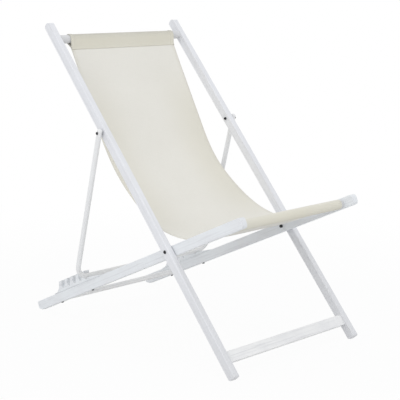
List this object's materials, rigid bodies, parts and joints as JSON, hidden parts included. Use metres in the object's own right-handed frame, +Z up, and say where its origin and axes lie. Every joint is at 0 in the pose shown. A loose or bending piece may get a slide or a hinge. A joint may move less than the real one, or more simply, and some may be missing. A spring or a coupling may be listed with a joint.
{
  "type": "folding garden chair",
  "caption": "Folding wooden garden chair: crossed back and seat frames, canvas sling seat, and a bent tube prop that drops into notched racks to set the recline.",
  "frame": {"origin": "on the floor under the middle of the open chair", "axes": "+Z up, the sitter faces -Y, +X to the sitter's left"},
  "size_m": [0.6262, 1.0122, 1.0121],
  "materials": {
    "painted_wood": "white paint, satin, faint grain",
    "coated_tube": "white powder coat",
    "dark_steel": "dark, dull",
    "canvas": "cream woven canvas, hemmed"
  },
  "bodies": {
    "seat_frame": {"seat_rail_left": "painted_wood", "seat_rail_right": "painted_wood", "front_dowel": "painted_wood", "rear_stretcher": "painted_wood", "rack_left": "painted_wood", "rack_right": "painted_wood", "rack_screws": "dark_steel", "main_bolts": "dark_steel", "main_nuts": "dark_steel", "main_nut_washers": "dark_steel", "main_spacers": "dark_steel"},
    "back_frame": {"back_rail_left": "painted_wood", "back_rail_right": "painted_wood", "top_dowel": "painted_wood", "front_stretcher": "painted_wood", "prop_bolts": "dark_steel", "prop_nuts": "dark_steel", "prop_nut_washers": "dark_steel", "prop_spacers": "dark_steel", "sling": "canvas"},
    "prop": {"prop_tube": "coated_tube"}
  },
  "joints": [
    {"name": "back_fold", "type": "hinge", "parent": "seat_frame", "child": "back_frame", "pos_m": [0, -0.20482, 0.337], "axis": [1, 0, 0], "range_deg": [0, 98], "deforming": ["sling"]},
    {"name": "prop_swing", "type": "hinge", "parent": "back_frame", "child": "prop", "pos_m": [0, 0.08844, 0.67436], "axis": [1, 0, 0], "range_deg": [-30, 0]}
  ],
  "couplings": [
    {"joint": "prop_swing", "follows": "back_fold", "ratio": -0.303}
  ]
}
